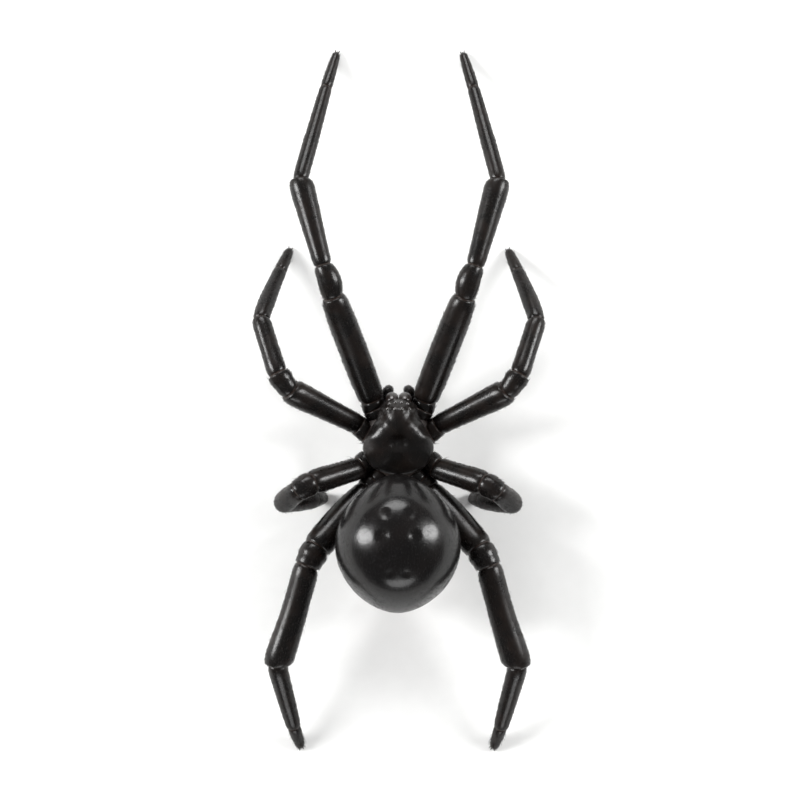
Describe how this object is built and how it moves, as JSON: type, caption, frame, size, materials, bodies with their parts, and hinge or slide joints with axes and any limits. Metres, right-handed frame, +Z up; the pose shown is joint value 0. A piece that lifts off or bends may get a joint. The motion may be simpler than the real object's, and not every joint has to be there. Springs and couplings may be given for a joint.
{
  "type": "black widow spider model",
  "caption": "Life-size still model of an adult female black widow spider standing on its feet, front legs stretched forward, round abdomen behind.",
  "frame": {"origin": "on the floor, midway between the tips of the first and the last legs and between the two sides", "axes": "-Y towards the head, +X towards the spider's left side, +Z up"},
  "size_m": [0.0162, 0.0384, 0.0085],
  "materials": {
    "carapace_cuticle": "glossy black cuticle, faintly pebbled, with a few fine hairs",
    "underside_cuticle": "satin brown-black cuticle",
    "abdomen_skin": "shiny jet-black skin under a thin coat of short hairs, red hourglass below",
    "leg_cuticle": "glossy black cuticle with fine dark hairs",
    "jaw_cuticle": "glossy dark red-brown cuticle"
  },
  "bodies": {
    "root": {"abdomen": "abdomen_skin", "carapace": "carapace_cuticle", "chelicera_left": "jaw_cuticle", "chelicera_right": "jaw_cuticle", "leg_1_left_coxa": "leg_cuticle", "leg_1_left_femur": "leg_cuticle", "leg_1_left_metatarsus": "leg_cuticle", "leg_1_left_patella": "leg_cuticle", "leg_1_left_tarsus": "leg_cuticle", "leg_1_left_tibia": "leg_cuticle", "leg_1_right_coxa": "leg_cuticle", "leg_1_right_femur": "leg_cuticle", "leg_1_right_metatarsus": "leg_cuticle", "leg_1_right_patella": "leg_cuticle", "leg_1_right_tarsus": "leg_cuticle", "leg_1_right_tibia": "leg_cuticle", "leg_2_left_coxa": "leg_cuticle", "leg_2_left_femur": "leg_cuticle", "leg_2_left_metatarsus": "leg_cuticle", "leg_2_left_patella": "leg_cuticle", "leg_2_left_tarsus": "leg_cuticle", "leg_2_left_tibia": "leg_cuticle", "leg_2_right_coxa": "leg_cuticle", "leg_2_right_femur": "leg_cuticle", "leg_2_right_metatarsus": "leg_cuticle", "leg_2_right_patella": "leg_cuticle", "leg_2_right_tarsus": "leg_cuticle", "leg_2_right_tibia": "leg_cuticle", "leg_3_left_coxa": "leg_cuticle", "leg_3_left_femur": "leg_cuticle", "leg_3_left_metatarsus": "leg_cuticle", "leg_3_left_patella": "leg_cuticle", "leg_3_left_tarsus": "leg_cuticle", "leg_3_left_tibia": "leg_cuticle", "leg_3_right_coxa": "leg_cuticle", "leg_3_right_femur": "leg_cuticle", "leg_3_right_metatarsus": "leg_cuticle", "leg_3_right_patella": "leg_cuticle", "leg_3_right_tarsus": "leg_cuticle", "leg_3_right_tibia": "leg_cuticle", "leg_4_left_coxa": "leg_cuticle", "leg_4_left_femur": "leg_cuticle", "leg_4_left_metatarsus": "leg_cuticle", "leg_4_left_patella": "leg_cuticle", "leg_4_left_tarsus": "leg_cuticle", "leg_4_left_tibia": "leg_cuticle", "leg_4_right_coxa": "leg_cuticle", "leg_4_right_femur": "leg_cuticle", "leg_4_right_metatarsus": "leg_cuticle", "leg_4_right_patella": "leg_cuticle", "leg_4_right_tarsus": "leg_cuticle", "leg_4_right_tibia": "leg_cuticle", "palp_left": "leg_cuticle", "palp_right": "leg_cuticle", "pedicel": "underside_cuticle", "spinnerets": "underside_cuticle", "sternum": "underside_cuticle"}
  },
  "joints": []
}
